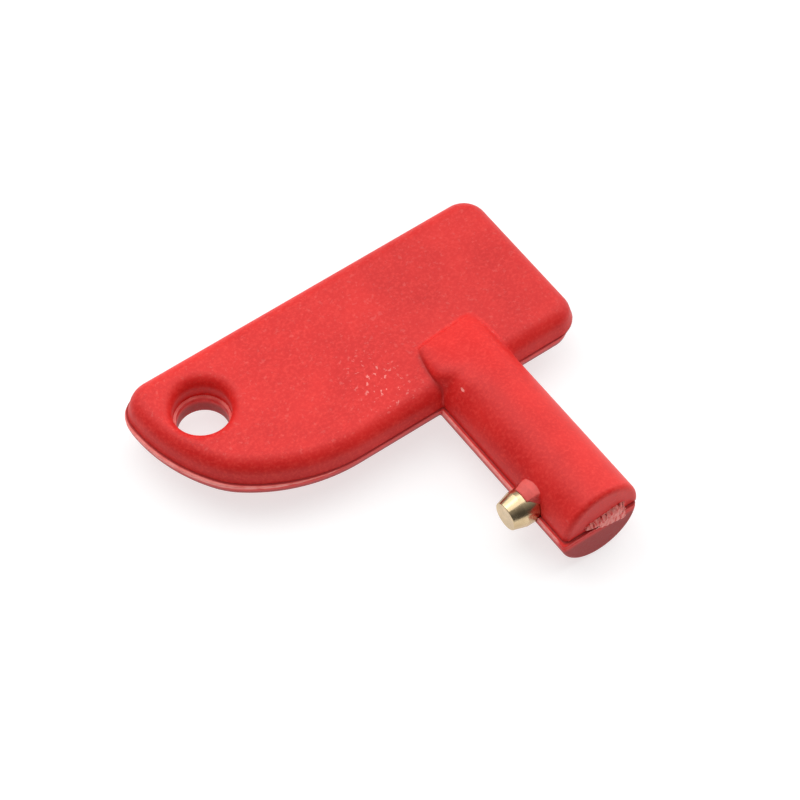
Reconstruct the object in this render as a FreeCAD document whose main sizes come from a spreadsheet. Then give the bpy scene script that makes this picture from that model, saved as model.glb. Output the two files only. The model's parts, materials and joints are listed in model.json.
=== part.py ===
"""Removable key of a battery isolator switch: a flag-shaped blade handle, a round
shaft that goes into the switch, and a brass drive pin standing out of one side.

The moulded body comes from two mould halves that meet on the plane Z = 0. They
don't quite line up: the lower one has slipped towards -X and -Y, which leaves a
fine ledge along those sides. Axes: X along the blade (nose towards -X), the
shaft points along -Y, Z is up through the blade's thickness. The origin is on
the upper half's shaft axis, level with its edge where the shaft leaves it.
"""

import FreeCAD
import Part

import math
import os
from types import SimpleNamespace

import Sketcher
from FreeCAD import Placement, Rotation, Vector

DIMENSIONS = [
    # alias, millimetres or degrees, meaning
    ("blade_width", 25.3, "blade, shaft side to back edge"),
    ("half_thickness", 3.2, "blade, parting plane to either face"),
    ("edge_radius", 3.0, "rounding of the blade's outer edges"),
    ("slip_along", 0.6, "slip of the lower mould half along the blade"),
    ("slip_across", 0.2, "slip of the lower mould half towards the shaft's tip"),
    ("nose_reach", 39.9, "shaft axis to the nose"),
    ("tail_reach", 16.9, "shaft axis to the square end"),
    ("tail_corner", 3.75, "corner radius of the square end"),
    ("nose_corner", 4.2, "corner radius between back edge and nose"),
    ("nose_side", 23.4, "radius of the nose's side"),
    ("nose_turn", 12.3, "radius of the tight bend under the nose"),
    ("belly_radius", 24.3, "radius of the long curve under the nose"),
    ("belly_start", 18.2, "shaft axis to the start of the long curve"),
    ("hole_inset", 7.9, "lanyard hole axis to the nose"),
    ("hole_from_back", 8.55, "lanyard hole axis to the back edge"),
    ("hole_radius", 3.4, "lanyard hole in the lower half"),
    ("hole_ledge", 0.45, "extra radius of the hole in the upper half"),
    ("hole_flare", 1.6, "rounding of the hole's upper lip"),
    ("hole_lip", 0.6, "rounding of the hole's lower lip"),
    ("shaft_radius", 5.8, "shaft"),
    ("shaft_reach", 26.25, "blade edge to the shaft's tip"),
    ("tip_setback", 0.35, "how far the upper half's tip stops short"),
    ("tip_rim_upper", 0.8, "rounding of the tip, upper half"),
    ("tip_rim_lower", 0.45, "rounding of the tip, lower half"),
    ("ramp_start", 0.4, "blade edge to where the shaft starts to sink"),
    ("ramp_end", 8.2, "blade edge to the buried end of the shaft"),
    ("ramp_bury", 0.2, "depth of the ramp's end under the blade's face"),
    ("pin_radius", 2.5, "drive pin"),
    ("pin_reach", 9.5, "shaft axis to the drive pin's end"),
    ("pin_length", 10.0, "drive pin, end to end"),
    ("pin_taper", 1.85, "length of the drive pin's tapered end"),
    ("pin_tip_radius", 1.98, "drive pin, flat end"),
    ("pin_from_tip", 8.05, "shaft's tip to the drive pin's axis"),
    ("collar_reach", 7.0, "shaft axis to the outer end of the pin's collar"),
    ("collar_height", 3.2, "collar, above the pin's axis at the shaft"),
    ("collar_lip", 2.65, "collar, above the pin's axis at its outer end"),
    ("collar_root", 4.0, "shaft axis to the collar's buried end"),
    ("collar_overlap", 0.2, "how deep the collar reaches into the pin"),
    ("collar_sweep", 84.0, "angle of the collar round the pin, in degrees"),
    ("margin", 2.0, "how far a cutter runs past what it cuts"),
]

doc = FreeCAD.newDocument("isolator_key")
sheet = doc.addObject("Spreadsheet::Sheet", "sizes")
for row, (alias, number, meaning) in enumerate(DIMENSIONS, start=1):
    sheet.set(f"A{row}", meaning)
    sheet.set(f"B{row}", str(number))
    sheet.setAlias(f"B{row}", alias)
doc.recompute()


class Size:
    """A length together with the spreadsheet formula that gives it."""

    def __init__(self, value, formula):
        self.value = value
        self.formula = formula

    def __add__(self, other):
        return Size(self.value + other.value, f"({self.formula} + {other.formula})")

    def __sub__(self, other):
        return Size(self.value - other.value, f"({self.formula} - {other.formula})")

    def __neg__(self):
        return Size(-self.value, f"(-{self.formula})")


D = SimpleNamespace(**{alias: Size(number, f"sizes.{alias}") for alias, number, _ in DIMENSIONS})
ZERO = Size(0.0, "0")
IN_PLACE = (ZERO, ZERO, ZERO)
SLIPPED = (-D.slip_along, -D.slip_across, ZERO)
START, END, CENTRE = 1, 2, 3  # the named points of a sketched line or arc
H_AXIS, V_AXIS = -1, -2  # a sketch's own axes; its origin is START of H_AXIS


class Drawing:
    """A sketch on one of a body's origin planes, its sizes tied to the sheet."""

    def __init__(self, body, name, plane, offset=IN_PLACE):
        self.sketch = body.newObject("Sketcher::SketchObject", name)
        origin = next(f for f in body.Origin.OriginFeatures if f.Role == plane)
        self.sketch.AttachmentSupport = [(origin, "")]
        self.sketch.MapMode = "FlatFace"
        for letter, size in zip("xyz", offset):
            self.sketch.setExpression(f"AttachmentOffset.Base.{letter}", size.formula)
        doc.recompute()

    def constrain(self, kind, *references, size=None):
        values = [] if size is None else [size.value]
        index = self.sketch.addConstraint(Sketcher.Constraint(kind, *references, *values))
        if size is not None:
            self.sketch.setExpression(f"Constraints[{index}]", size.formula)

    def line(self, start, end):
        """Draw a line between two corners; one along an axis is held to it."""
        (x1, y1), (x2, y2) = [(x.value, y.value) for x, y in (start, end)]
        index = self.sketch.addGeometry(Part.LineSegment(Vector(x1, y1), Vector(x2, y2)))
        if math.isclose(x1, x2):
            self.constrain("Vertical", index)
        elif math.isclose(y1, y2):
            self.constrain("Horizontal", index)
        return index

    def arc(self, centre, radius, first, last):
        """Draw an arc anticlockwise between two angles in degrees, its radius fixed."""
        circle = Part.Circle(Vector(*centre), Vector(0, 0, 1), radius.value)
        index = self.sketch.addGeometry(
            Part.ArcOfCircle(circle, math.radians(first), math.radians(last))
        )
        self.constrain("Radius", index, size=radius)
        return index

    def place(self, index, point, x=None, y=None):
        """Hold a point of a line or arc at the given X, Y or both."""
        for size, distance, axis in ((x, "DistanceX", V_AXIS), (y, "DistanceY", H_AXIS)):
            if size is None:
                continue
            if size.value == 0.0:
                self.constrain("PointOnObject", index, point, axis)
            elif size.value > 0.0:
                self.constrain(distance, H_AXIS, START, index, point, size=size)
            else:
                self.constrain(distance, index, point, H_AXIS, START, size=-size)

    def chain(self, kinds, *pieces):
        """Close pieces into a loop; kinds has one letter per joint, t tangent or c corner."""
        for letter, piece, follower in zip(kinds, pieces, pieces[1:] + pieces[:1]):
            kind = {"t": "Tangent", "c": "Coincident"}[letter]
            self.constrain(kind, piece, END, follower, START)

    def polygon(self, *corners):
        """Draw a closed polygon and hold every corner."""
        closed = zip(corners, corners[1:] + corners[:1])
        lines = []
        for start, end in closed:
            points = [Vector(x.value, y.value) for x, y in (start, end)]
            lines.append(self.sketch.addGeometry(Part.LineSegment(*points)))
        self.chain("c" * len(lines), *lines)
        for index, (x, y) in zip(lines, corners):
            self.place(index, START, x, y)


def bind(thing, **formulas):
    """Tie properties of a document object to sizes of the sheet."""
    for name, size in formulas.items():
        thing.setExpression(name, size.formula)


def new_body(name):
    body = doc.addObject("PartDesign::Body", name)
    doc.recompute()
    return body


def pad(body, name, drawing, length, reverse=False):
    feature = body.newObject("PartDesign::Pad", name)
    feature.Profile = drawing.sketch
    feature.Reversed = reverse
    bind(feature, Length=length)
    doc.recompute()
    return feature


def revolve(body, name, drawing, axis, angle=360.0, kind="Revolution"):
    feature = body.newObject(f"PartDesign::{kind}", name)
    feature.Profile = drawing.sketch
    feature.ReferenceAxis = (drawing.sketch, [axis])
    feature.Angle = abs(angle)
    feature.Reversed = angle < 0
    doc.recompute()
    return feature


def angle_of(start, end):
    """Direction from one point to another, in degrees from 0 to 360."""
    return math.degrees(math.atan2(end[1] - start[1], end[0] - start[0])) % 360.0


def touching_centre(first, reach_1, second, reach_2):
    """Centre at reach_1 from one point and reach_2 from another, on the -X side."""
    gap = math.dist(first, second)
    along = (reach_1**2 - reach_2**2 + gap**2) / (2.0 * gap)
    aside = math.sqrt(reach_1**2 - along**2)
    ux, uy = (second[0] - first[0]) / gap, (second[1] - first[1]) / gap
    sides = [
        (first[0] + along * ux + side * aside * uy, first[1] + along * uy - side * aside * ux)
        for side in (-1, 1)
    ]
    return min(sides)


# ---------------------------------------------------------------- blade handle


def blade_outline(body, name, slip):
    """Outline of one half of the blade: square end, straight back edge, oval nose."""
    d = Drawing(body, name, "XY_Plane", offset=slip)
    tail_x = D.tail_reach - D.tail_corner
    tail_y = D.blade_width - D.tail_corner
    nose_x = D.nose_corner - D.nose_reach
    nose_y = D.blade_width - D.nose_corner
    side_x = D.nose_side - D.nose_reach
    side = (side_x.value, nose_y.value)
    belly = (-D.belly_start.value, D.belly_radius.value)
    side_gap = D.nose_side.value - D.nose_turn.value
    belly_gap = D.belly_radius.value - D.nose_turn.value
    turn = touching_centre(side, side_gap, belly, belly_gap)
    side_end = angle_of(side, turn)
    belly_end = angle_of(belly, turn)

    shaft_edge = d.line((-D.belly_start, ZERO), (tail_x, ZERO))
    low_corner = d.arc((tail_x.value, D.tail_corner.value), D.tail_corner, -90, 0)
    square_end = d.line((D.tail_reach, D.tail_corner), (D.tail_reach, tail_y))
    high_corner = d.arc((tail_x.value, tail_y.value), D.tail_corner, 0, 90)
    back_edge = d.line((tail_x, D.blade_width), (nose_x, D.blade_width))
    nose_corner = d.arc((nose_x.value, nose_y.value), D.nose_corner, 90, 180)
    nose_side = d.arc(side, D.nose_side, 180, side_end)
    nose_turn = d.arc(turn, D.nose_turn, side_end, belly_end)
    nose_belly = d.arc(belly, D.belly_radius, belly_end, 270)

    d.chain("t" * 9, shaft_edge, low_corner, square_end, high_corner, back_edge,
            nose_corner, nose_side, nose_turn, nose_belly)
    d.place(low_corner, CENTRE, x=tail_x, y=D.tail_corner)
    d.place(high_corner, CENTRE, y=tail_y)
    d.place(nose_corner, CENTRE, x=nose_x)
    d.place(nose_side, CENTRE, y=nose_y)
    d.place(nose_belly, CENTRE, x=-D.belly_start)
    return d


def round_edges(body, name, base, height):
    """Round every edge of the outline at the given height."""
    rim = [
        f"Edge{number}"
        for number, edge in enumerate(base.Shape.Edges, start=1)
        if all(math.isclose(v.Z, height, abs_tol=1e-6) for v in edge.Vertexes)
    ]
    fillet = body.newObject("PartDesign::Fillet", name)
    fillet.Base = (base, rim)
    bind(fillet, Radius=D.edge_radius)
    doc.recompute()
    return fillet


def lanyard_hole(body):
    """Hole with a wide soft lip above, a ledge on the parting plane, a small lip below."""
    centre = (D.hole_inset - D.nose_reach, ZERO, D.hole_from_back - D.blade_width)
    d = Drawing(body, "hole_profile", "XZ_Plane", offset=centre)
    top = D.half_thickness
    upper = D.hole_radius + D.hole_ledge
    mouth = upper + D.hole_flare
    under = D.hole_radius + D.hole_lip
    above = top + D.margin
    below = -(top + D.margin)
    flare_y = top - D.hole_flare
    lip_y = D.hole_lip - top

    mouth_side = d.line((mouth, above), (mouth, top))
    flare = d.arc((mouth.value, flare_y.value), D.hole_flare, 90, 180)
    upper_wall = d.line((upper, flare_y), (upper, ZERO))
    ledge = d.line((upper, ZERO), (D.hole_radius, ZERO))
    lower_wall = d.line((D.hole_radius, ZERO), (D.hole_radius, lip_y))
    lip = d.arc((under.value, lip_y.value), D.hole_lip, 180, 270)
    under_side = d.line((under, -top), (under, below))
    bottom = d.line((under, below), (ZERO, below))
    axis = d.line((ZERO, below), (ZERO, above))
    cover = d.line((ZERO, above), (mouth, above))

    d.chain("ctcctccccc", mouth_side, flare, upper_wall, ledge, lower_wall,
            lip, under_side, bottom, axis, cover)
    d.place(flare, CENTRE, x=mouth, y=flare_y)
    d.place(lip, CENTRE, x=under, y=lip_y)
    d.place(mouth_side, START, x=mouth)
    d.place(ledge, START, y=ZERO)
    d.place(under_side, START, x=under)
    d.place(bottom, START, y=below)
    d.place(axis, START, x=ZERO)
    d.place(cover, START, y=above)
    revolve(body, "lanyard_hole", d, "V_Axis", kind="Groove")


def build_blade():
    body = new_body("blade")
    lower = blade_outline(body, "lower_outline", SLIPPED)
    upper = blade_outline(body, "upper_outline", IN_PLACE)
    lower_half = pad(body, "lower_half", lower, D.half_thickness, reverse=True)
    round_edges(body, "lower_edges", lower_half, -D.half_thickness.value)
    upper_half = pad(body, "upper_half", upper, D.half_thickness)
    round_edges(body, "upper_edges", upper_half, D.half_thickness.value)
    lanyard_hole(body)
    return body


# ----------------------------------------------------------------------- shaft


def shaft_profile(body, name, slip, tip, rim):
    """Half outline of the shaft from its axis, with a rounded rim at the tip."""
    d = Drawing(body, name, "XY_Plane", offset=slip)
    radius = D.shaft_radius
    rim_x = radius - rim
    rim_y = tip + rim
    end_face = d.line((ZERO, tip), (rim_x, tip))
    corner = d.arc((rim_x.value, rim_y.value), rim, -90, 0)
    side = d.line((radius, rim_y), (radius, D.ramp_end))
    root = d.line((radius, D.ramp_end), (ZERO, D.ramp_end))
    axis = d.line((ZERO, D.ramp_end), (ZERO, tip))
    d.chain("ttccc", end_face, corner, side, root, axis)
    d.place(corner, CENTRE, x=rim_x, y=rim_y)
    d.place(root, START, y=D.ramp_end)
    d.place(axis, START, x=ZERO)
    return d


def root_ramps(body):
    """Slope the shaft down into the blade's two faces."""
    d = Drawing(body, "ramp_profile", "YZ_Plane")
    crest = D.shaft_radius
    buried = D.half_thickness - D.ramp_bury
    outside = D.ramp_end + D.margin
    high = D.shaft_radius + D.margin
    side_view = [
        (D.ramp_start, crest),
        (D.ramp_end, buried),
        (outside, buried),
        (outside, high),
        (D.ramp_start, high),
    ]
    d.polygon(*side_view)
    d.polygon(*[(y, -z) for y, z in side_view])
    ramps = body.newObject("PartDesign::Pocket", "root_ramps")
    ramps.Profile = d.sketch
    ramps.Type = "ThroughAll"
    ramps.SideType = "Symmetric"
    doc.recompute()


def pin_collar(body):
    """Skin of plastic lapping over the drive pin where it leaves the shaft."""
    pin_y = D.pin_from_tip - D.shaft_reach
    d = Drawing(body, "collar_profile", "XZ_Plane", offset=(ZERO, ZERO, -pin_y))
    buried = D.pin_radius - D.collar_overlap
    section = [
        (-D.collar_root, buried),
        (-D.collar_root, D.collar_height),
        (-D.shaft_radius, D.collar_height),
        (-D.collar_reach, D.collar_lip),
        (-D.collar_reach, buried),
    ]
    d.polygon(*section)
    d.polygon(*[(x, -z) for x, z in section])
    collar = revolve(body, "pin_collar", d, "H_Axis")
    collar.Midplane = True
    bind(collar, Angle=D.collar_sweep)
    doc.recompute()


def build_shaft():
    body = new_body("shaft")
    upper_tip = D.tip_setback - D.shaft_reach
    lower = shaft_profile(body, "lower_profile", SLIPPED, -D.shaft_reach, D.tip_rim_lower)
    upper = shaft_profile(body, "upper_profile", IN_PLACE, upper_tip, D.tip_rim_upper)
    revolve(body, "lower_shaft", lower, "V_Axis", angle=180.0)
    revolve(body, "upper_shaft", upper, "V_Axis", angle=-180.0)
    root_ramps(body)
    pin_collar(body)
    return body


# ------------------------------------------------------------------- drive pin


def build_pin():
    """Turned brass pin, tapered to a flat end, lying along X in the parting plane."""
    body = new_body("drive_pin")
    pin_y = D.pin_from_tip - D.shaft_reach
    d = Drawing(body, "pin_profile", "XZ_Plane", offset=(ZERO, ZERO, -pin_y))
    inner = D.pin_length - D.pin_reach
    shoulder = D.pin_taper - D.pin_reach
    d.polygon(
        (-D.pin_reach, ZERO),
        (inner, ZERO),
        (inner, D.pin_radius),
        (shoulder, D.pin_radius),
        (-D.pin_reach, D.pin_tip_radius),
    )
    revolve(body, "turned_pin", d, "H_Axis")
    return body


def pin_socket():
    """The space that the drive pin fills in the moulding."""
    socket = doc.addObject("Part::Cylinder", "pin_socket")
    socket.Placement = Placement(Vector(), Rotation(Vector(0, 1, 0), -90))
    bind(socket, Radius=D.pin_radius, Height=D.pin_length)
    socket.setExpression("Placement.Base.x", (D.pin_length - D.pin_reach).formula)
    socket.setExpression("Placement.Base.y", (D.pin_from_tip - D.shaft_reach).formula)
    return socket


# ------------------------------------------------------------------- assembly


def build_key():
    moulding = doc.addObject("Part::Fuse", "moulding")
    moulding.Base = build_blade()
    moulding.Tool = build_shaft()
    key_body = doc.addObject("Part::Cut", "key_body")
    key_body.Base = moulding
    key_body.Tool = pin_socket()
    return key_body


def check(thing):
    """Stop on an object that FreeCAD could not rebuild or whose solid is unsound."""
    faults = {"Invalid", "Error"} & set(thing.State)
    if faults:
        raise RuntimeError(f"{thing.Name}: {faults}")
    shape = getattr(thing, "Shape", None)
    if shape is None or thing.isDerivedFrom("Sketcher::SketchObject"):
        return
    if thing.isDerivedFrom("PartDesign::Feature") or thing.isDerivedFrom("Part::Boolean"):
        if shape.isNull() or not shape.isValid():
            raise RuntimeError(f"{thing.Name}: unsound shape")


nodes = [build_key(), build_pin()]
doc.recompute()
for thing in doc.Objects:
    check(thing)

os.makedirs("parts", exist_ok=True)
for node in nodes:
    node.Label = node.Name
    node.Shape.exportStep(f"parts/{node.Name}.step")
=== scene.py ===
"""Looks of a battery isolator key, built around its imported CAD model.

The moulding is remeshed from its CAD node, and every vertex is then moved onto a
distance field that repeats the design with softer joins, a slightly wavy parting
line, a small chip and a torn gate. Lengths are in millimetres until a mesh is made.
"""

import json
import math

import bmesh
import bpy
import numpy as np
from mathutils import Matrix, Vector


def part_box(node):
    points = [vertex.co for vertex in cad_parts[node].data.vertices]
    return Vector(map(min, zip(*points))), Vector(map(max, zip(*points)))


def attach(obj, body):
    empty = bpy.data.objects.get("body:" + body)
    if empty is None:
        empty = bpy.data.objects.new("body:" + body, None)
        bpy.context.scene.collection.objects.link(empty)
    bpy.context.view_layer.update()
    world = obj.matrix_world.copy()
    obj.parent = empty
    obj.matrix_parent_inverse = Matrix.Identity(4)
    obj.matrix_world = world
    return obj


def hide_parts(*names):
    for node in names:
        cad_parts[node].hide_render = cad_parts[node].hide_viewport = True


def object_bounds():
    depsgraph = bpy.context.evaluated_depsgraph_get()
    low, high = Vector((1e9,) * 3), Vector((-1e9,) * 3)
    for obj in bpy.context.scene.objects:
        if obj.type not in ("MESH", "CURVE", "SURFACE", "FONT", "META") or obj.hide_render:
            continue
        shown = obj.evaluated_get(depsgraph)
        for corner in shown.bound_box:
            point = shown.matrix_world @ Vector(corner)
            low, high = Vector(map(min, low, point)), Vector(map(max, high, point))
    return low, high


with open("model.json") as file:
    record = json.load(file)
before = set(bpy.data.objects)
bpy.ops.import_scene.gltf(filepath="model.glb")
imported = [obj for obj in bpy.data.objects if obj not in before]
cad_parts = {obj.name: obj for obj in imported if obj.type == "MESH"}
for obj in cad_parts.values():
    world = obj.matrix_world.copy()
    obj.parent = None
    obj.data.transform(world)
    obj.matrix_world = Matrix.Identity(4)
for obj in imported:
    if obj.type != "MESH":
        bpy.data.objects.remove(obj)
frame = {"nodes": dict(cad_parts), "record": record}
cad_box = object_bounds()

MM = 0.001  # one millimetre in metres
SEED = 11  # of the random heights, with an offset for each use


def millimetres(corner):
    """A corner given in metres, as an array in millimetres."""
    return np.array(corner) / MM


BODY_LOW, BODY_HIGH = (millimetres(c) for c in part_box("key_body"))
PIN_LOW, PIN_HIGH = (millimetres(c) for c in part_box("drive_pin"))
MOUNTS = {mount["name"]: mount for mount in frame["record"]["mounts"]}

# ------------------------------------------------------- sizes of the moulding

SLIP = np.array([0.6, 0.2])  # how far the lower half has slipped, along -X and -Y
EDGE_RADIUS = 1.8  # between the blade's faces and its edge
EDGE_DRAFT = math.radians(14.0)  # lean of the blade's edge below its rounding
TAIL_CORNER = 3.75  # radii of the outline's arcs, from the tail round to the belly
NOSE_CORNER = 4.2
NOSE_SIDE = 23.4
NOSE_TURN = 12.3
BELLY = 24.3
BELLY_START = 18.2  # how far along -X the straight near edge gives way to the belly

NOSE_X = BODY_LOW[0] + SLIP[0]
TAIL_X = BODY_HIGH[0]
BLADE_WIDTH = BODY_HIGH[1]
SHAFT_RADIUS = BODY_HIGH[2]
SHAFT_REACH = -BODY_LOW[1] - SLIP[1]
HALF_THICKNESS = MOUNTS["label_face"]["pos_m"][2] / MM
UPPER_SETBACK = 0.35  # how far the upper half's tip stops short
LOWER_SETBACK = 0.15  # and the lower half's, out of which the gate stands
UPPER_RIM = 0.8  # rounding of each half's rim at the tip
LOWER_RIM = 0.45

HOLE = millimetres(MOUNTS["lanyard_hole"]["pos_m"])[:2]
HOLE_RADIUS = MOUNTS["lanyard_hole"]["dims"]["r_mm"]
HOLE_LEDGE = 0.45  # how much wider the upper half's hole is
HOLE_FLARE = 1.75  # rounding of its mouth in the upper half
HOLE_LIP = 0.6  # and in the lower half

RAMP_START = 0.4
RAMP_END = 8.0
RAMP_SKEW = 0.08  # how far the far end leans back towards +X
RAMP_STEP = 0.32  # height left over at the ramp's far end
RAMP_SHOULDER = 1.5  # rounding between the ramp and the shaft
RAMP_BROW = 0.4  # rounding at the ramp's far end
ROOT_FILLET = 0.12
ROOT_SQUARE = 2.0  # how much squarer than a circle the shaft's left flank gets
ROOT_SQUARE_END = 3.2  # Y at which it is that square
ROOT_NARROWING = 0.026  # by which that flank then leans in, for each millimetre of Y
ROOT_NARROWING_START = 2.5  # Y at which it starts to lean

PIN_Y = (PIN_LOW[1] + PIN_HIGH[1]) / 2
PIN_RADIUS = PIN_HIGH[2]
PIN_TAPER = 1.85  # length of its tapered nose
PIN_TIP_RADIUS = 1.98
PIN_RIM = 0.12
PIN_DISH = ((0.03, 0.02), (0.02, 1.0))  # depths and radii on its slightly hollow face
PIN_CHAMFER = 0.1  # at its hidden end
PIN_GAP = 0.04  # between the pin and the skin of plastic round it
SOCKET_RIM = 0.08
COLLAR_REACH = 7.0
COLLAR_HEIGHT = 3.2
COLLAR_LIP = 2.65
COLLAR_SKEW = 1.5  # how much narrower it is towards the shaft's tip
COLLAR_SWEEP = math.radians(35.0)  # to each side of upright
COLLAR_ROOT = -2.0  # X inside the shaft where it ends
COLLAR_END_RIM = 0.25
COLLAR_SIDE_RIM = 0.3
COLLAR_FILLET = 0.12

GATE_LEFT = (-2.9, 0.4, 1.2)  # X, lower and upper Z of the torn gate's ends
GATE_RIGHT = (3.4, -1.6, 1.9)
GATE_INSET = 0.05  # from its face to the end of the CAD model
GATE_DEPTH = 2.0  # how far it goes into the shaft
GATE_CORNER = 0.6
GATE_STRAND = 0.5  # size of its torn strands
GATE_GRAIN = (1.0, 1.0, 0.45)  # which are longer along Z
GATE_TEAR = 0.12  # how deep they are at its outline
GATE_FACE_TEAR = 0.05  # and on its face
GATE_FACE_RIM = 0.08
GATE_FILLET = 0.18

CHIP = (-4.0, -1.6, 4.2)
CHIP_SIZE = (0.09, 0.3, 0.28)  # its half axes
CHIP_RIM = 0.04

SEAM_HEIGHT = 0.5  # to each side of the parting plane, where the lower half is uneven
SEAM_RAGGED = 0.035  # how far the lower half's wavy edge stands back
SEAM_WAVE = 2.6
UPPER_ARRIS = 0.05  # rounding of each half's sharp edge at the parting plane
LOWER_ARRIS = 0.06
LEDGE_FILLET = 0.12  # in the corner of the parting ledge
OVERLAP = 0.06  # how far the upper half reaches into the lower one

VOXEL = 0.16
FINE_SEAM = 0.45  # height beside the parting plane where the mesh is split finer
FINE_TIP = (1.2, 2.4)  # depth and height of the finer mesh at the shaft's tip
FINE_PIN = (1.0, 0.4)  # how far it reaches into the shaft and past the pin's skin


# ------------------------------------------------------------- distance fields


def round_meet(a, b, radius):
    """Distance to what two solids share, with the edge between them rounded."""
    corner = np.hypot(np.maximum(radius + a, 0), np.maximum(radius + b, 0))
    return np.minimum(-radius, np.maximum(a, b)) + corner


def round_join(a, b, radius):
    """Distance to two solids together, with a fillet in the corner between them."""
    return -round_meet(-a, -b, radius)


def smooth_step(edge_0, edge_1, value):
    """0 before edge_0, 1 after edge_1, and a smooth rise between them."""
    t = np.clip((value - edge_0) / (edge_1 - edge_0), 0, 1)
    return t * t * (3 - 2 * t)


def waves(points, size, seed, octaves=2):
    """Smooth random heights, mostly from -1 to 1, as a sum of sine waves."""
    waves_in_octave = 7
    usual_peak = 5.0
    rng = np.random.default_rng(seed)
    height = np.zeros(len(points))
    for octave in range(octaves):
        for _ in range(waves_in_octave):
            direction = rng.normal(size=points.shape[1])
            direction /= np.linalg.norm(direction)
            pitch = size / 2**octave * rng.uniform(0.7, 1.4)
            phase = rng.uniform(0, 2 * math.pi)
            height += np.sin(points @ direction * 2 * math.pi / pitch + phase) / 2**octave
    return height / usual_peak


def touching_centre(first, reach_1, second, reach_2):
    """Centre at reach_1 from one point and reach_2 from another, on the -X side."""
    gap = math.dist(first, second)
    along = (reach_1**2 - reach_2**2 + gap**2) / (2 * gap)
    aside = math.sqrt(reach_1**2 - along**2)
    ux, uy = (second[0] - first[0]) / gap, (second[1] - first[1]) / gap
    sides = [
        (first[0] + along * ux + side * aside * uy, first[1] + along * uy - side * aside * ux)
        for side in (-1, 1)
    ]
    return min(sides)


def blade_arcs():
    """Centre, radius and end angles in degrees of the arcs round the blade's outline."""
    tail = TAIL_X - TAIL_CORNER
    nose_y = BLADE_WIDTH - NOSE_CORNER
    side = (NOSE_X + NOSE_SIDE, nose_y)
    belly = (-BELLY_START, BELLY)
    turn = touching_centre(side, NOSE_SIDE - NOSE_TURN, belly, BELLY - NOSE_TURN)
    side_end = math.degrees(math.atan2(turn[1] - side[1], turn[0] - side[0])) % 360
    turn_end = math.degrees(math.atan2(turn[1] - belly[1], turn[0] - belly[0])) % 360
    return [
        ((tail, TAIL_CORNER), TAIL_CORNER, -90, 0),
        ((tail, BLADE_WIDTH - TAIL_CORNER), TAIL_CORNER, 0, 90),
        ((NOSE_X + NOSE_CORNER, nose_y), NOSE_CORNER, 90, 180),
        (side, NOSE_SIDE, 180, side_end),
        (turn, NOSE_TURN, side_end, turn_end),
        (belly, BELLY, turn_end, 270),
    ]


BLADE_ARCS = blade_arcs()


def blade_outline(x, y):
    """Distance to the blade's convex outline: the furthest of its arcs' supports."""
    distance = np.full(len(x), -np.inf)
    for (cx, cy), radius, first, last in BLADE_ARCS:
        px, py = x - cx, y - cy
        (ax, ay), (bx, by) = [
            (math.cos(math.radians(angle)), math.sin(math.radians(angle)))
            for angle in (first, last)
        ]
        facing = (ax * py - ay * px >= 0) & (px * by - py * bx >= 0)
        straight = np.maximum(px * ax + py * ay, px * bx + py * by)
        support = np.where(facing, np.hypot(px, py), straight)
        distance = np.maximum(distance, support - radius)
    return distance


def ramp(y, height):
    """Distance above the slope that sinks the shaft into the blade."""
    drop = SHAFT_RADIUS - HALF_THICKNESS - RAMP_STEP
    run = RAMP_END - RAMP_START
    return ((y - RAMP_START) * drop + (height - SHAFT_RADIUS) * run) / math.hypot(drop, run)


def half(x, y, height, reach, rim, square=ROOT_SQUARE):
    """Distances to one mould half's blade and shaft, not yet cut at the parting plane."""
    edge = blade_outline(x, y) * math.cos(EDGE_DRAFT) + height * math.sin(EDGE_DRAFT)
    blade = round_meet(edge, height - HALF_THICKNESS, EDGE_RADIUS)
    left = x < 0
    squareness = 2 + square * smooth_step(0.0, ROOT_SQUARE_END, y) * left
    across = np.abs(x) * (1 + ROOT_NARROWING * np.maximum(y - ROOT_NARROWING_START, 0) * left)
    around = (across**squareness + np.abs(height) ** squareness) ** (1 / squareness)
    shaft = round_meet(around - SHAFT_RADIUS, -(y + reach), rim)
    shaft = round_meet(shaft, ramp(y, height), RAMP_SHOULDER)
    shaft = round_meet(shaft, y - RAMP_END - RAMP_SKEW * x, RAMP_BROW)
    return blade, shaft


def collar(x, y, z):
    """Distance to the skin of plastic over the drive pin, above and below it."""
    out = np.hypot(y - PIN_Y, z)
    along = -x
    slope = (COLLAR_HEIGHT - COLLAR_LIP) / (COLLAR_REACH - SHAFT_RADIUS)
    top = COLLAR_HEIGHT - slope * np.maximum(along - SHAFT_RADIUS, 0)
    shell = round_meet(out - top, along - COLLAR_REACH, COLLAR_END_RIM)
    aside = np.maximum(y - PIN_Y, COLLAR_SKEW * (PIN_Y - y))
    lean = aside - np.abs(z) * math.tan(COLLAR_SWEEP)
    shell = round_meet(shell, lean * math.cos(COLLAR_SWEEP), COLLAR_SIDE_RIM)
    return np.maximum(shell, x - COLLAR_ROOT)


def gate(x, y, z, points):
    """Distance to the torn stub, on the shaft's tip, where the moulding left its feed."""
    part = np.clip((x - GATE_LEFT[0]) / (GATE_RIGHT[0] - GATE_LEFT[0]), 0, 1)
    foot, head = (GATE_LEFT[k] * (1 - part) + GATE_RIGHT[k] * part for k in (1, 2))
    torn = waves(points * GATE_GRAIN, GATE_STRAND, SEED + 5)
    sides = np.maximum(GATE_LEFT[0] - x, x - GATE_RIGHT[0])
    block = round_meet(sides, np.maximum(z - head, foot - z), GATE_CORNER) + GATE_TEAR * torn
    block = np.maximum(block, y + SHAFT_REACH - GATE_DEPTH)
    face = -(y + SHAFT_REACH + SLIP[1] - GATE_INSET) + GATE_FACE_TEAR * torn
    return round_meet(block, face, GATE_FACE_RIM)


def chip(points):
    """Distance to a small nick in the shaft's flank."""
    return (np.linalg.norm((points - CHIP) / CHIP_SIZE, axis=1) - 1) * min(CHIP_SIZE)


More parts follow.
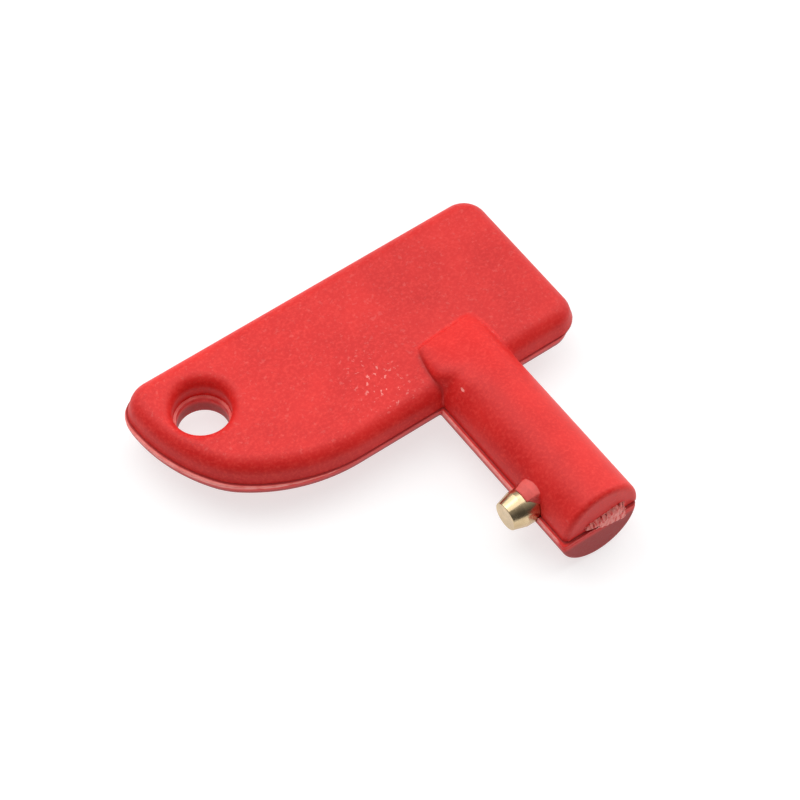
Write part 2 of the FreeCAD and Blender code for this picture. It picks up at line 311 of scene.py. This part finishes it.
def moulding(points):
    """Distance from the points to the surface of the whole moulding."""
    x, y, z = points.T
    hole = np.hypot(x - HOLE[0], y - HOLE[1])

    blade, shaft = half(x, y, z, SHAFT_REACH - UPPER_SETBACK, UPPER_RIM)
    blade = round_meet(blade, HOLE_RADIUS + HOLE_LEDGE - hole, HOLE_FLARE)
    upper = round_join(blade, shaft, ROOT_FILLET)
    upper = round_meet(upper, -(z + OVERLAP), UPPER_ARRIS)

    ragged = SEAM_RAGGED * (1 + waves(points[:, :2], SEAM_WAVE, SEED, 3)) * (np.abs(z) < SEAM_HEIGHT)
    reach = SHAFT_REACH - LOWER_SETBACK
    blade, shaft = half(x + SLIP[0], y + SLIP[1], -z, reach, LOWER_RIM, square=0)
    blade = round_meet(blade, HOLE_RADIUS + ragged - hole, HOLE_LIP)
    lower = round_join(blade, shaft, ROOT_FILLET)
    lower = round_meet(lower + ragged, z, LOWER_ARRIS)

    body = round_join(upper, lower, LEDGE_FILLET)
    body = round_join(body, gate(x, y, z, points), GATE_FILLET)
    body = round_join(body, collar(x, y, z), COLLAR_FILLET)
    body = round_meet(body, -chip(points), CHIP_RIM)
    socket = np.maximum(np.hypot(y - PIN_Y, z) - (PIN_RADIUS + PIN_GAP), x - PIN_HIGH[0])
    return round_meet(body, -socket, SOCKET_RIM)


# ---------------------------------------------------------------------- meshes


def mesh_points(mesh):
    """The mesh's vertices as rows of an array."""
    flat = np.empty(len(mesh.vertices) * 3, np.float32)
    mesh.vertices.foreach_get("co", flat)
    return flat.reshape(-1, 3).astype(float)


def slope_of(field, points, step=0.01):
    """Unit gradient of a field at the points."""
    rise = np.empty_like(points)
    for axis in range(3):
        shift = np.zeros(3)
        shift[axis] = step
        rise[:, axis] = field(points + shift) - field(points - shift)
    return rise / np.maximum(np.linalg.norm(rise, axis=1, keepdims=True), 1e-9)


def settle(field, points, rounds=7, stride=0.2):
    """Move points along the field's slope until they lie on its surface."""
    for _ in range(rounds):
        reach = np.clip(field(points), -stride, stride)
        points = points - slope_of(field, points) * reach[:, None]
    return points


def remeshed(name, node, voxel):
    """Copy of a CAD node, remeshed into small even squares."""
    source = frame["nodes"][node]
    rough = bpy.data.objects.new("rough_" + name, source.data.copy())
    bpy.context.scene.collection.objects.link(rough)
    cutter = rough.modifiers.new("squares", "REMESH")
    cutter.mode = "VOXEL"
    cutter.voxel_size = voxel * MM
    view = bpy.context.evaluated_depsgraph_get()
    mesh = bpy.data.meshes.new_from_object(rough.evaluated_get(view))
    bpy.data.objects.remove(rough)
    mesh.name = name
    mesh.materials.clear()
    piece = bpy.data.objects.new(name, mesh)
    bpy.context.scene.collection.objects.link(piece)
    return piece


def refine(mesh, wanted):
    """Split in two every edge whose middle is where wanted says."""
    shape = bmesh.new()
    shape.from_mesh(mesh)
    middles = np.array([(e.verts[0].co + e.verts[1].co) / 2 for e in shape.edges]) / MM
    chosen = [edge for edge, want in zip(shape.edges, wanted(middles)) if want]
    bmesh.ops.subdivide_edges(shape, edges=chosen, cuts=1, use_grid_fill=True)
    shape.to_mesh(mesh)
    shape.free()


def near_detail(points):
    """True near the parting plane, at the gate on the shaft's tip, and round the pin."""
    x, y, z = points.T
    tip_depth, tip_height = FINE_TIP
    into_shaft, past_skin = FINE_PIN
    seam = np.abs(z) < FINE_SEAM
    tip = (y < -SHAFT_REACH + tip_depth) & (np.abs(z) < tip_height)
    beside_pin = np.hypot(y - PIN_Y, z) < COLLAR_HEIGHT + past_skin
    return seam | tip | (beside_pin & (x < -SHAFT_RADIUS + into_shaft))


def store(mesh, name, values):
    """Keep one number for each vertex, for a material to read."""
    attribute = mesh.attributes.new(name, "FLOAT", "POINT")
    attribute.data.foreach_set("value", values.astype(np.float32))


def turned(name, profile, middle, sides=96):
    """Solid turned about the X line at Y middle from (x, radius) pairs, its ends closed."""
    angles = [2 * math.pi * step / sides for step in range(sides)]
    points = [
        (x * MM, (middle + radius * math.cos(angle)) * MM, radius * math.sin(angle) * MM)
        for x, radius in profile
        for angle in angles
    ]
    faces = [
        (row + k, row + (k + 1) % sides, row + sides + (k + 1) % sides, row + sides + k)
        for row in range(0, (len(profile) - 1) * sides, sides)
        for k in range(sides)
    ]
    faces.append(tuple(reversed(range(sides))))
    faces.append(tuple(range(len(points) - sides, len(points))))
    mesh = bpy.data.meshes.new(name)
    mesh.from_pydata(points, [], faces)
    mesh.shade_smooth()
    piece = bpy.data.objects.new(name, mesh)
    bpy.context.scene.collection.objects.link(piece)
    return piece


def arc_steps(centre, radius, first, last, count):
    """(x, radius) pairs round an arc, its angles in degrees."""
    return [
        (
            centre[0] + radius * math.cos(math.radians(first + (last - first) * k / count)),
            centre[1] + radius * math.sin(math.radians(first + (last - first) * k / count)),
        )
        for k in range(count + 1)
    ]


def build_pin():
    """Turned brass pin with a tapered nose and a softly broken rim."""
    front, back = PIN_LOW[0], PIN_HIGH[0]
    bend = front + PIN_TAPER
    taper = math.degrees(math.atan2(PIN_RADIUS - PIN_TIP_RADIUS, PIN_TAPER))
    rim = (front + PIN_RIM, PIN_TIP_RADIUS - PIN_RIM * math.cos(math.radians(taper)))
    face = [(front + depth, radius) for depth, radius in PIN_DISH] + [(front, rim[1] - 0.05)]
    broken_rim = arc_steps(rim, PIN_RIM, 180, 90 + taper, 6)
    eased_bend = [
        (bend - 0.08, PIN_RADIUS - 0.04),
        (bend, PIN_RADIUS - 0.01),
        (bend + 0.1, PIN_RADIUS),
    ]
    end = [(back - PIN_CHAMFER, PIN_RADIUS), (back, PIN_RADIUS - PIN_CHAMFER)]
    piece = turned("turned_pin", face + broken_rim + eased_bend + end, PIN_Y)
    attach(piece, "root")
    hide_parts("drive_pin")
    return piece


def build_moulding():
    """The whole moulding, with its wear, painted highlight, painted shade and scuffs stored on its
    vertices.
    """
    piece = remeshed("moulded_key", "key_body", VOXEL)
    refine(piece.data, near_detail)
    points = settle(moulding, mesh_points(piece.data) / MM)
    points = np.clip(points, BODY_LOW, BODY_HIGH)
    piece.data.vertices.foreach_set("co", (points * MM).astype(np.float32).ravel())
    store(piece.data, "wear_and_highlight", wear_and_highlight(points))
    store(piece.data, "painted_shade", painted_shade(points))
    store(piece.data, "scuffed", scuffed(points))
    piece.data.shade_smooth()
    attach(piece, "root")
    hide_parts("key_body")
    return piece


# ------------------------------------------------------ marks, painted highlight and painted shade on the moulding

ON_SURFACE = 0.05  # how near to a surface a vertex counts as lying on it

# Paling: real whitening of the flash, the gate and the nick, with painted highlight where the ledges
# catch light.
WEAR_AND_HIGHLIGHT_EVEN = 0.85
WEAR_AND_HIGHLIGHT_PATCHY = 0.35  # how much more or less pale a patch of wear and painted highlight may be
WEAR_AND_HIGHLIGHT_PATCH = 2.2  # size of the patches
WEAR_AND_HIGHLIGHT_BELOW = (-0.75, -0.35)  # Z between which wear and painted highlight set in under the parting plane
WEAR_AND_HIGHLIGHT_ABOVE = (0.09, 0.03)  # and just above it
WEAR_AND_HIGHLIGHT_START_SHAFT = 0.32  # how far out on the ledge the pale edge of wear and painted highlight starts
WEAR_AND_HIGHLIGHT_START_BLADE = 0.16
WEAR_AND_HIGHLIGHT_FADE = 0.12
WEAR_AND_HIGHLIGHT_TIP = (0.6, 1.6)  # distances from the shaft's tip where the ledge starts to be pale
RING_WEAR_AND_HIGHLIGHT = 0.6  # wear and painted highlight round the ledge in the hole
RING_BELOW = (-0.16, -0.10)
STUB_DEPTH = 0.4  # of the torn gate's pale part, from the shaft's tip
STREAK_EVEN = 0.75  # its streaks: real whitening, made paler as painted highlight where the strands catch light
STREAK_CONTRAST = 0.9
STREAK_GRAIN = (1.0, 1.0, 0.35)
STREAK_SIZE = 0.42
SKIN_HIGHLIGHT = 0.38  # painted highlight on the top of the skin of plastic over the pin

CREASE_SHADE = 0.8  # painted shade in the corner of the parting ledge
CREASE_WIDTH = 0.3
CREASE_TIP = (0.9, 0.3)  # distances from the shaft's tip where it gets twice as wide
CREASE_HEIGHT = 0.12
CREASE_DEPTH = 0.1
CORNER_SHADE = 0.45  # painted shade in the corner left of the shaft's root
CORNER_WIDTH = 0.7
CORNER_START = (0.0, 1.0)
CORNER_END = (7.4, 6.2)
UNDER_SHADE = 0.8  # painted shade on the lower half
UNDER_HEIGHTS = (-0.6, -1.5)
TAIL_SHADE = 0.16  # painted shade on the blade, growing towards its tail
TAIL_ALONG = (-22.0, 4.0)
TAIL_ACROSS = (-1.0, 2.0)
TAIL_OFF_SHAFT = (0.3, 0.5)

SCUFF_CENTRE = (-11.5, 5.5)  # of a patch of flecks on the blade's top
SCUFF_SPREAD = (2.6, 4.5)
SCUFF_EVERYWHERE = 0.1
SCUFF_DENSE = 0.8


def on_surface(distance):
    """True where the distance says that a vertex lies on a surface."""
    return np.abs(distance) < ON_SURFACE


def beside_upper(points):
    """Distance to the upper half's outside, which the parting ledge runs round."""
    x, y, z = points.T
    return np.minimum(*half(x, y, z, SHAFT_REACH - UPPER_SETBACK, UPPER_RIM))


def wear_and_highlight(points):
    """How far the plastic is paled, from 0 to 1: by whitening of the flash, the gate and the nick,
    and by painted highlight on the ledges, the gate's strands and the top of the pin's skin.
    """
    x, y, z = points.T
    patchy = WEAR_AND_HIGHLIGHT_EVEN + WEAR_AND_HIGHLIGHT_PATCHY * waves(points, WEAR_AND_HIGHLIGHT_PATCH, SEED + 9)
    from_tip = y + SHAFT_REACH

    # pale ledge: whitened flash, and painted highlight on the lit ledge and the wall below it
    ledge = smooth_step(*WEAR_AND_HIGHLIGHT_BELOW, z) * smooth_step(*WEAR_AND_HIGHLIGHT_ABOVE, z)
    start = np.where(y < 0, WEAR_AND_HIGHLIGHT_START_SHAFT, WEAR_AND_HIGHLIGHT_START_BLADE)
    ledge *= smooth_step(0.0, WEAR_AND_HIGHLIGHT_FADE, beside_upper(points) - start) * patchy
    ledge *= smooth_step(*WEAR_AND_HIGHLIGHT_TIP, from_tip)

    # pale ring: whitened flash, and painted highlight on the lit ledge in the hole
    ring = RING_WEAR_AND_HIGHLIGHT * smooth_step(*RING_BELOW, z) * smooth_step(*WEAR_AND_HIGHLIGHT_ABOVE, z) * patchy
    ring *= np.hypot(x - HOLE[0], y - HOLE[1]) < HOLE_RADIUS + 2 * HOLE_LEDGE

    # the torn gate is whitened, and painted paler still as highlight on its strands
    stub = on_surface(gate(x, y, z, points)) & (from_tip < STUB_DEPTH)
    streaks = STREAK_EVEN + STREAK_CONTRAST * waves(points * STREAK_GRAIN, STREAK_SIZE, SEED + 6)
    # painted highlight on the top of the pin's skin
    skin = SKIN_HIGHLIGHT * on_surface(collar(x, y, z)) * (z > 0)
    nick = smooth_step(ON_SURFACE, 0.0, chip(points))
    return np.clip(np.maximum.reduce([ledge, ring, stub * streaks, skin, nick]), 0, 1)


def painted_shade(points):
    """How far painted shade darkens the plastic, from 0 to 1: in creases and corners, on the lower
    half and towards the blade's tail.
    """
    x, y, z = points.T
    off_gate = ~on_surface(gate(x, y, z, points))

    beside = beside_upper(points)
    width = CREASE_WIDTH * (1 + smooth_step(*CREASE_TIP, y + SHAFT_REACH))
    crease = CREASE_SHADE * smooth_step(1.0, 0.2, beside / width) * off_gate
    crease *= (np.abs(z) < CREASE_HEIGHT) & (beside > -CREASE_DEPTH)

    blade, shaft = half(x, y, z, SHAFT_REACH, UPPER_RIM)
    corner = CORNER_SHADE * smooth_step(CORNER_WIDTH, 0.0, np.maximum(blade, shaft))
    corner *= smooth_step(*CORNER_START, y) * smooth_step(*CORNER_END, y)
    corner *= (z > 0) & (x < 0)

    under = UNDER_SHADE * smooth_step(*UNDER_HEIGHTS, z) * off_gate
    tail = TAIL_SHADE * smooth_step(*TAIL_ALONG, x) * smooth_step(*TAIL_ACROSS, y)
    tail *= smooth_step(*TAIL_OFF_SHAFT, shaft)
    return np.clip(under + crease + corner + tail, 0, 1)


def scuffed(points):
    """How densely the blade's top is marked with pale flecks, from 0 to 1."""
    height = points[:, 2] - HALF_THICKNESS
    patch = (points[:, :2] - SCUFF_CENTRE) / SCUFF_SPREAD
    dense = SCUFF_DENSE * np.exp(-(patch**2).sum(axis=1))
    on_top = smooth_step(-0.3, -0.1, height) * (height < 0.1)
    return (SCUFF_EVERYWHERE + dense) * on_top


# ------------------------------------------------------------------- materials

RED_DEEP = (0.64, 0.010, 0.009)
RED_CLEAR = (0.78, 0.020, 0.016)
RED_SPECK = (0.92, 0.07, 0.055)
RED_SCUFF = (0.95, 0.42, 0.38)
RED_PAINTED_SHADE = (0.30, 0.016, 0.016)
RED_WEAR_AND_HIGHLIGHT = (1.0, 0.34, 0.30)
BRASS_DARK = (0.54, 0.40, 0.23)
BRASS_PALE = (0.70, 0.54, 0.33)

BROAD_NOISE = 150.0  # features to the metre, roughly
FINE_NOISE = 2400.0
FLECK_NOISE = 1500.0
BRASS_NOISE = 700.0
GRAIN_HEIGHT = 0.00006  # in metres


class Nodes:
    """Short way to lay out and link the nodes of one material."""

    def __init__(self, name):
        self.material = bpy.data.materials.new(name)
        self.material.use_nodes = True
        self.tree = self.material.node_tree
        self.shader = self.tree.nodes["Principled BSDF"]

    def add(self, kind, settings=None, **inputs):
        """A new node, with its settings and its inputs' values or links."""
        node = self.tree.nodes.new("ShaderNode" + kind)
        for key, value in (settings or {}).items():
            setattr(node, key, value)
        for key, value in inputs.items():
            self.feed(node, key.replace("_", " "), value)
        return node

    def feed(self, node, socket, value):
        """Link a socket to a node's input, or set the input to a value."""
        if isinstance(value, bpy.types.NodeSocket):
            self.tree.links.new(value, node.inputs[socket])
        else:
            node.inputs[socket].default_value = value

    def noise(self, scale, detail=3.0, roughness=0.5):
        """Noise that stays with the object."""
        place = self.add("TexCoord").outputs["Object"]
        node = self.add("TexNoise", Vector=place, Scale=scale, Detail=detail, Roughness=roughness)
        return node.outputs["Fac"]

    def ramp(self, factor, *stops):
        """Colours at positions along a factor."""
        node = self.add("ValToRGB", Fac=factor)
        stock = node.color_ramp.elements
        while len(stock) < len(stops):
            stock.new(0.5)
        for element, (position, colour) in zip(stock, stops):
            element.position = position
            element.color = (*colour, 1.0)
        return node.outputs["Color"]

    def blend(self, factor, first, second):
        """Two colours mixed by a factor. Each of the three is a value or a socket."""
        node = self.add("Mix", {"data_type": "RGBA"})
        for socket, value in (("Factor", factor), ("A", first), ("B", second)):
            target = [s for s in node.inputs if s.name == socket and s.enabled][0]
            if isinstance(value, bpy.types.NodeSocket):
                self.tree.links.new(value, target)
            else:
                target.default_value = (*value, 1.0) if isinstance(value, tuple) else value
        return [s for s in node.outputs if s.enabled][0]

    def product(self, first, second):
        """Two sockets multiplied."""
        node = self.add("Math", {"operation": "MULTIPLY"})
        self.feed(node, 0, first)
        self.feed(node, 1, second)
        return node.outputs["Value"]

    def stored(self, name):
        """The numbers that a mesh keeps on its vertices under a name."""
        return self.add("Attribute", {"attribute_name": name}).outputs["Fac"]


def grey(level):
    """A colour with three equal parts."""
    return (level, level, level)


def red_plastic():
    """Red moulded plastic: faint clouds and specks, flecks, painted shade in creases, corners, below
    and towards the tail, and pale edges that are partly wear and partly painted highlight.
    """
    n = Nodes("red_plastic")
    broad = n.noise(BROAD_NOISE, 4.0)
    fine = n.noise(FINE_NOISE, 3.0, 0.65)
    specks = n.ramp(fine, (0.45, grey(0.0)), (0.75, grey(0.55)))
    flecks = n.ramp(n.noise(FLECK_NOISE, 2.0, 0.7), (0.60, grey(0.0)), (0.67, grey(0.9)))
    pale_wear_and_highlight = n.ramp(n.stored("wear_and_highlight"), (0.1, grey(0.0)), (0.9, grey(0.85)))

    colour = n.ramp(broad, (0.3, RED_DEEP), (0.7, RED_CLEAR))
    colour = n.blend(specks, colour, RED_SPECK)
    colour = n.blend(n.product(flecks, n.stored("scuffed")), colour, RED_SCUFF)
    # painted shade
    colour = n.blend(n.stored("painted_shade"), colour, RED_PAINTED_SHADE)
    # pale wear, partly painted highlight on the lit ledges, the gate and the pin's skin
    colour = n.blend(pale_wear_and_highlight, colour, RED_WEAR_AND_HIGHLIGHT)
    n.feed(n.shader, "Base Color", colour)

    n.feed(n.shader, "Roughness", n.ramp(fine, (0.3, grey(0.42)), (0.7, grey(0.56))))
    grain = n.add("Bump", Strength=0.5, Distance=GRAIN_HEIGHT, Height=fine)
    n.feed(n.shader, "Normal", grain.outputs["Normal"])
    n.shader.inputs["IOR"].default_value = 1.42
    n.shader.inputs["Specular IOR Level"].default_value = 0.4
    return n.material


def brass():
    """Turned brass, slightly clouded."""
    n = Nodes("turned_brass")
    cloud = n.noise(BRASS_NOISE, 3.0)
    n.feed(n.shader, "Base Color", n.ramp(cloud, (0.3, BRASS_DARK), (0.7, BRASS_PALE)))
    n.feed(n.shader, "Roughness", n.ramp(cloud, (0.3, grey(0.16)), (0.7, grey(0.28))))
    n.shader.inputs["Metallic"].default_value = 1.0
    return n.material


def finish(piece, material):
    """Give a piece its only material."""
    piece.data.materials.clear()
    piece.data.materials.append(material)


# -------------------------------------------------- floor, camera and lighting

FLOOR_REACH = 3.0  # metres from the middle to each side
FLOOR_GREY = 0.40
FLOOR_GLOW = 0.68

CAMERA_AZIMUTH = -34.51
CAMERA_ELEVATION = 55.19
CAMERA_ROLL = -1.38
CAMERA_DISTANCE = 451.05
CAMERA_AIM = (-9.73, 4.23)
CAMERA_LENS = 157.3

SKY_BRIGHTEST = (0.30, 0.52, 0.80)  # a direction
SKY_DARK = 0.10
SKY_LIGHT = 0.5
SKY_LIGHT_FROM = 0.8  # how nearly a direction has to point that way to be lightest


def build_floor():
    """Wide pale floor at the height of the object's lowest point."""
    level = cad_box[0][2]
    sides = ((-1, -1), (1, -1), (1, 1), (-1, 1))
    corners = [(FLOOR_REACH * x, FLOOR_REACH * y, level) for x, y in sides]
    mesh = bpy.data.meshes.new("floor")
    mesh.from_pydata(corners, [], [(0, 1, 2, 3)])
    floor = bpy.data.objects.new("floor", mesh)
    bpy.context.scene.collection.objects.link(floor)
    n = Nodes("pale_floor")
    n.shader.inputs["Base Color"].default_value = (*grey(FLOOR_GREY), 1.0)
    n.shader.inputs["Roughness"].default_value = 0.8
    n.shader.inputs["Emission Color"].default_value = (1.0, 1.0, 1.0, 1.0)
    n.shader.inputs["Emission Strength"].default_value = FLOOR_GLOW
    finish(floor, n.material)


def build_camera():
    """Long lens on the near side of the key, looking down at it."""
    azimuth, elevation, roll = (
        math.radians(angle) for angle in (CAMERA_AZIMUTH, CAMERA_ELEVATION, CAMERA_ROLL)
    )
    level = math.cos(elevation)
    back = Vector((math.sin(azimuth) * level, -math.cos(azimuth) * level, math.sin(elevation)))
    right = Vector((math.cos(azimuth), math.sin(azimuth), 0.0))
    up = back.cross(right)
    right, up = (
        right * math.cos(roll) + up * math.sin(roll),
        up * math.cos(roll) - right * math.sin(roll),
    )
    lens = bpy.data.cameras.new("camera")
    lens.lens = CAMERA_LENS
    lens.sensor_width = 36.0
    lens.clip_start = 0.01
    camera = bpy.data.objects.new("camera", lens)
    place = (Vector((*CAMERA_AIM, 0.0)) + back * CAMERA_DISTANCE) * MM
    turn = Matrix((right, up, back)).transposed().to_4x4()
    camera.matrix_world = Matrix.Translation(place) @ turn
    bpy.context.scene.collection.objects.link(camera)
    bpy.context.scene.camera = camera


def build_light(name, place, size, power):
    """Square soft light at a place in metres, facing the key."""
    data = bpy.data.lights.new(name, "AREA")
    data.size = size
    data.energy = power
    light = bpy.data.objects.new(name, data)
    light.location = place
    light.rotation_euler = Vector(place).to_track_quat("Z", "Y").to_euler()
    bpy.context.scene.collection.objects.link(light)


def build_world():
    """Grey surroundings, lighter overhead and behind."""
    world = bpy.data.worlds.new("studio")
    world.use_nodes = True
    tree = world.node_tree
    sky = tree.nodes["Background"]
    place = tree.nodes.new("ShaderNodeTexCoord")
    facing = tree.nodes.new("ShaderNodeVectorMath")
    facing.operation = "DOT_PRODUCT"
    facing.inputs[1].default_value = SKY_BRIGHTEST
    tones = tree.nodes.new("ShaderNodeValToRGB")
    dark, light = tones.color_ramp.elements
    dark.position = 0.0
    dark.color = (*grey(SKY_DARK), 1.0)
    light.position = SKY_LIGHT_FROM
    light.color = (*grey(SKY_LIGHT), 1.0)
    tree.links.new(place.outputs["Generated"], facing.inputs[0])
    tree.links.new(facing.outputs["Value"], tones.inputs["Fac"])
    tree.links.new(tones.outputs["Color"], sky.inputs["Color"])
    bpy.context.scene.world = world
    bpy.context.scene.view_settings.view_transform = "Standard"


moulded = build_moulding()
finish(moulded, red_plastic())
finish(build_pin(), brass())
build_floor()
build_camera()
build_world()
build_light("top_softbox", place=(0.0, 0.08, 0.34), size=0.35, power=0.54)
build_light("back_softbox", place=(-0.12, 0.38, 0.40), size=0.5, power=1.05)
build_light("right_softbox", place=(0.45, 0.05, 0.35), size=0.5, power=1.4)
